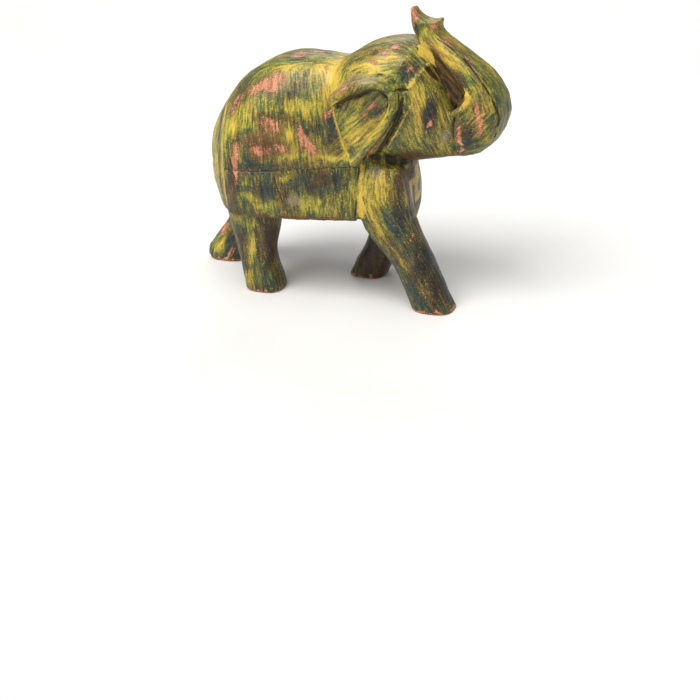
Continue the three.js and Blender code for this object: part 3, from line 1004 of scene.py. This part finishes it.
def rubbed_paint():
    """Terracotta ground, slate and green coats, dry-brushed yellow, rubbed back by hand, with painted shade
    and painted highlights.
    """
    n = Nodes("rubbed_paint")
    place = n.add("ShaderNodeTexCoord").outputs["Object"]
    way = n.mask("way", "Vector")
    fine, mid, wide = n.add("ShaderNodeSeparateXYZ", {0: n.mask("streak", "Vector")}).outputs
    hair = n.drawn(place, way, 800.0, 0.0009)
    scratch = n.drawn(place, way, 430.0, 0.0016)
    grit = n.math("SUBTRACT", n.noise(place, 620.0, 3.0, 0.7), 0.5)
    blotch = n.math("SUBTRACT", n.noise(place, 150.0, 3.0, 0.6), 0.5)

    shares = [(fine, 0.055), (mid, 0.035), (hair, 1.4), (scratch, 1.0), (grit, 0.56), (blotch, 0.28)]
    tone = n.plus(n.mask("tone"), shares)
    green = n.ramp(
        tone,
        [
            (0.0, "#222b2a"),
            (0.18, "#303b38"),
            (0.34, "#454f35"),
            (0.48, "#616d2e"),
            (0.62, "#8b8c38"),
            (0.78, "#beaa40"),
            (0.94, "#e2ca58"),
        ],
    )
    olive = n.ramp(
        tone,
        [
            (0.0, "#1f1d16"),
            (0.18, "#33301f"),
            (0.34, "#4f4625"),
            (0.48, "#766a2b"),
            (0.62, "#a08d33"),
            (0.78, "#c9aa3b"),
            (0.94, "#e8ca4e"),
        ],
    )
    hue = n.math("MULTIPLY_ADD", wide, 0.22, n.math("MULTIPLY_ADD", blotch, 2.2, 0.5))
    hue = n.math("MULTIPLY_ADD", n.mask("umber"), 0.5, hue)
    paint = n.mix(n.step(hue, 0.1, 0.9), green, olive)
    speck = n.math("MULTIPLY_ADD", tone, 0.22, n.noise(place, 540.0, 2.0, 0.75))
    speck = n.math("MULTIPLY_ADD", scratch, 0.5, speck)
    paint = n.mix(n.math("MULTIPLY", n.step(speck, 0.66, 0.80), 0.6), paint, colour("#d0bc50"))
    ground = n.math("MULTIPLY_ADD", scratch, -2.2, n.math("MULTIPLY", grit, 1.2))
    ground = n.step(n.math("MULTIPLY_ADD", wide, 0.07, ground), 0.10, 0.40)
    paint = n.mix(n.math("MULTIPLY", ground, 0.62), paint, colour("#7c5644"))
    # The umber mask also holds painted shade: towards the floor, under things, on the chest below the jaw
    # and on the legs.
    umber = n.step(n.plus(n.mask("umber"), [(mid, 0.10), (scratch, 2.0), (grit, 1.0)]), 0.2, 0.9)
    paint = n.mix(n.math("MULTIPLY", umber, 0.85), paint, colour("#4e311d"))
    ochre = n.step(n.plus(n.mask("ochre"), [(fine, 0.10), (hair, 1.4), (grit, 0.9)]), 0.25, 0.95)
    warm = n.ramp(n.math("MULTIPLY_ADD", grit, 1.2, 0.55), [(0.2, "#ad8730"), (0.8, "#e5c758")])
    paint = n.mix(n.math("MULTIPLY", ochre, 0.85), paint, warm)
    # Pale holds pale worn paint, and painted highlights on the rims of the ear.
    pale = n.step(n.math("MULTIPLY_ADD", grit, 1.0, n.mask("pale")), 0.3, 1.0)
    paint = n.mix(n.math("MULTIPLY", pale, 0.75), paint, colour("#9d8c6a"))

    shares = [(mid, 0.04), (fine, 0.06), (hair, 1.8), (scratch, 1.4), (grit, 1.9), (blotch, 0.9)]
    worn = n.plus(n.mask("worn"), shares)
    edge = n.step(worn, 0.24, 0.62)
    bare = n.step(worn, 0.46, 1.0)
    clay = n.math("MULTIPLY_ADD", scratch, 2.6, n.math("MULTIPLY_ADD", grit, 1.4, 0.5))
    clay = n.ramp(clay, [(0.12, "#845034"), (0.5, "#be7d57"), (0.88, "#dda984")])
    paint = n.mix(n.math("MULTIPLY", edge, 0.7), paint, colour("#6b4030"))
    paint = n.mix(n.math("MULTIPLY", bare, 0.95), paint, clay)
    # The dark mask: dark lines and joints, with painted shade in creases, under the ear's rim and by the
    # shoulder.
    dark_marks_and_shade = n.step(n.math("MULTIPLY_ADD", grit, 0.6, n.mask("dark")), 0.25, 0.75)
    paint = n.mix(n.math("MULTIPLY", dark_marks_and_shade, 0.92), paint, colour("#20160d"))

    rough = n.math("MULTIPLY_ADD", bare, 0.14, n.math("MULTIPLY_ADD", grit, 0.25, 0.40))
    height = n.math("MULTIPLY_ADD", hair, 1.5, n.math("MULTIPLY", grit, 0.9))
    height = n.math("MULTIPLY_ADD", scratch, 1.5, height)
    height = n.math("MULTIPLY_ADD", bare, -0.5, height)
    bump = n.add("ShaderNodeBump", {"Strength": 0.5, "Distance": 0.0004, "Height": height})
    normal = bump.outputs["Normal"]
    return n.finish(Base_Color=paint, Roughness=rough, Normal=normal, Specular_IOR_Level=0.36)


def bare_wood(name, dark, light):
    """Plain sawn wood with fine grain, for the glue faces and the dowels."""
    n = Nodes(name)
    place = n.add("ShaderNodeTexCoord").outputs["Object"]
    drawn = n.add("ShaderNodeMapping", {"Vector": place, "Scale": (40.0, 320.0, 320.0)}).outputs["Vector"]
    grain = n.noise(drawn, 1.0, 4.0, 0.6)
    pores = n.noise(place, 900.0, 2.0, 0.7)
    wood = n.ramp(grain, [(0.3, dark), (0.7, light)])
    wood = n.mix(n.step(pores, 0.62, 0.75), wood, colour(dark))
    bump = n.add("ShaderNodeBump", {"Strength": 0.3, "Distance": 0.0003, "Height": grain})
    rough = n.math("MULTIPLY_ADD", pores, 0.2, 0.6)
    return n.finish(Base_Color=wood, Roughness=rough, Normal=bump.outputs["Normal"])


paint = rubbed_paint()
glue_face = bare_wood("glue_face", "#8a5a3a", "#b98560")
dowel_wood = bare_wood("dowel_wood", "#a67c50", "#cfa877")
for name, block in split_blocks().items():
    made = piece_from(block, name, [paint, glue_face])
    print(name, len(made.data.polygons), "faces")
for name in DOWELS:
    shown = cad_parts[name].data
    shown.materials.clear()
    shown.materials.append(dowel_wood)

# ---- Stage --------------------------------------------------------------------------------------

FLOOR_RADIUS = 14  # metres
FLOOR_SIDES = 48
FLOOR_Z = -0.0002
LIGHT_OF_WORLD = 0.30  # strength of the backdrop as a light, and as the camera sees it
SIGHT_OF_WORLD = 0.85

def pale_floor():
    """A round floor just under the soles, wide enough to have no edge in sight."""
    n = Nodes("pale_floor")
    place = n.add("ShaderNodeTexCoord").outputs["Object"]
    tint = n.ramp(n.noise(place, 6.0, 3.0, 0.5), [(0.3, "#dfdedc"), (0.7, "#e4e3e1")])
    material = n.finish(Base_Color=tint, Roughness=0.75)
    mesh = bpy.data.meshes.new("floor")
    angles = np.linspace(0, 2 * math.pi, FLOOR_SIDES + 1)[:-1]
    rim = [(FLOOR_RADIUS * math.cos(a), FLOOR_RADIUS * math.sin(a), FLOOR_Z) for a in angles]
    faces = [(0, k + 1, (k + 1) % FLOOR_SIDES + 1) for k in range(FLOOR_SIDES)]
    mesh.from_pydata([(0, 0, FLOOR_Z)] + rim, [], faces)
    mesh.materials.append(material)
    floor = bpy.data.objects.new("floor", mesh)
    bpy.context.scene.collection.objects.link(floor)


def area_light(name, place, target, size, power, tint=(1, 1, 1)):
    data = bpy.data.lights.new(name, "AREA")
    data.shape = "DISK"
    data.size = size
    data.energy = power
    data.color = tint
    lamp = bpy.data.objects.new(name, data)
    lamp.location = place
    lamp.rotation_euler = (Vector(target) - Vector(place)).to_track_quat("-Z", "Y").to_euler()
    bpy.context.scene.collection.objects.link(lamp)


def studio():
    """The backdrop and four lamps: a soft sun, a warm fill, and lamps behind and above."""
    world = bpy.data.worlds.new("studio")
    world.use_nodes = True
    back = world.node_tree.nodes["Background"]
    back.inputs["Color"].default_value = (0.99, 0.985, 0.97, 1.0)
    seen = world.node_tree.nodes.new("ShaderNodeLightPath").outputs["Is Camera Ray"]
    strength = world.node_tree.nodes.new("ShaderNodeMapRange")
    strength.inputs["To Min"].default_value = LIGHT_OF_WORLD
    strength.inputs["To Max"].default_value = SIGHT_OF_WORLD
    world.node_tree.links.new(seen, strength.inputs["Value"])
    world.node_tree.links.new(strength.outputs["Result"], back.inputs["Strength"])
    bpy.context.scene.world = world
    data = bpy.data.lights.new("key", "SUN")
    data.energy = 2.8
    data.angle = math.radians(42)
    data.color = (1.0, 0.98, 0.95)
    key = bpy.data.objects.new("key", data)
    key.rotation_euler = Vector((0.35, 0.75, -1.25)).to_track_quat("-Z", "Y").to_euler()
    bpy.context.scene.collection.objects.link(key)
    area_light("fill", (1.7, -1.2, 1.0), (0, 0, 0.15), 1.6, 3.0, (1.0, 0.94, 0.84))
    area_light("back", (-0.6, 1.9, 1.6), (0, 0, 0.15), 1.4, 12)
    area_light("top", (-0.1, -0.3, 1.9), (0, 0, 0.2), 1.8, 15, (0.95, 0.97, 1.0))
    bpy.context.scene.view_settings.view_transform = "Standard"


# Where the camera stands in metres, its right and down directions, and its lens in mm.
CAMERA_PLACE = (0.636, -1.6138, 0.7069)
CAMERA_RIGHT = (0.9332, 0.35902, -0.01547)
CAMERA_DOWN = (0.13583, -0.39227, -0.90977)
LENS = 86.1


def camera():
    right = Vector(CAMERA_RIGHT).normalized()
    up = -Vector(CAMERA_DOWN)
    up = (up - right * up.dot(right)).normalized()
    turn = Matrix((right, up, right.cross(up))).transposed()
    data = bpy.data.cameras.new("camera")
    data.sensor_width = 36.0
    data.lens = LENS
    data.clip_end = 100.0
    eye = bpy.data.objects.new("camera", data)
    eye.matrix_world = Matrix.Translation(CAMERA_PLACE) @ turn.to_4x4()
    bpy.context.scene.collection.objects.link(eye)
    bpy.context.scene.camera = eye


pale_floor()
studio()
camera()
bpy.context.view_layer.update()
